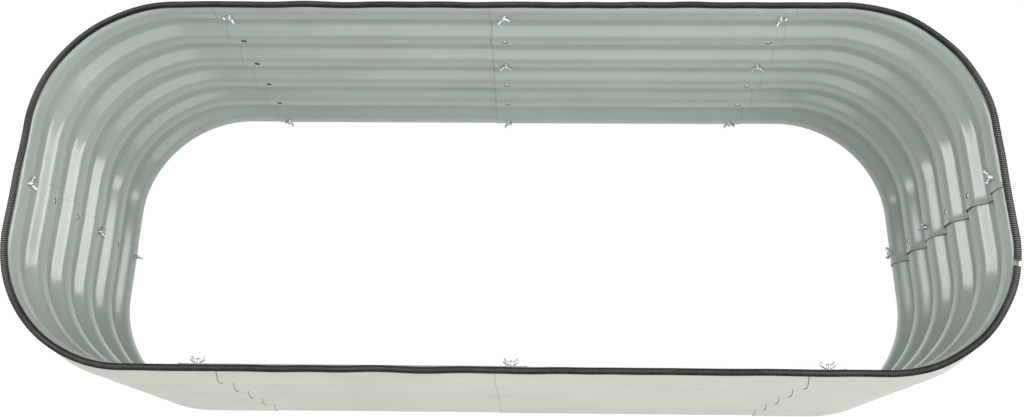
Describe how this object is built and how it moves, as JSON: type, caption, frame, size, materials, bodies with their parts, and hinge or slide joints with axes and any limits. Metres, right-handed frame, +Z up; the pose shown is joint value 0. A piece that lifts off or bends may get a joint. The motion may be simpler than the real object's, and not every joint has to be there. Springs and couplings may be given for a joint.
{
  "type": "raised garden bed",
  "caption": "Long round-cornered raised garden bed: a bottomless ring of corrugated steel panels, lapped and held by wing nuts, with a rubber trim on the top edge.",
  "frame": {"origin": "middle of the bed on the ground", "axes": "+X along the bed's length, +Y across it to the back, +Z up"},
  "size_m": [1.5308, 0.6208, 0.4585],
  "materials": {
    "coated_sheet": "satin",
    "trim_rubber": "matte",
    "zinc_plate": "bright zinc"
  },
  "bodies": {
    "root": {"back_left_corner_panel": "coated_sheet", "back_left_side_panel": "coated_sheet", "back_right_side_panel": "coated_sheet", "back_right_corner_panel": "coated_sheet", "front_right_corner_panel": "coated_sheet", "front_right_side_panel": "coated_sheet", "front_left_side_panel": "coated_sheet", "front_left_corner_panel": "coated_sheet", "rim_trim": "trim_rubber", "back_left_wing_nuts": "zinc_plate", "back_middle_wing_nuts": "zinc_plate", "back_right_wing_nuts": "zinc_plate", "right_end_wing_nuts": "zinc_plate", "front_right_wing_nuts": "zinc_plate", "front_middle_wing_nuts": "zinc_plate", "front_left_wing_nuts": "zinc_plate", "left_end_wing_nuts": "zinc_plate", "back_left_bolts": "zinc_plate", "back_middle_bolts": "zinc_plate", "back_right_bolts": "zinc_plate", "right_end_bolts": "zinc_plate", "front_right_bolts": "zinc_plate", "front_middle_bolts": "zinc_plate", "front_left_bolts": "zinc_plate", "left_end_bolts": "zinc_plate"}
  },
  "joints": []
}
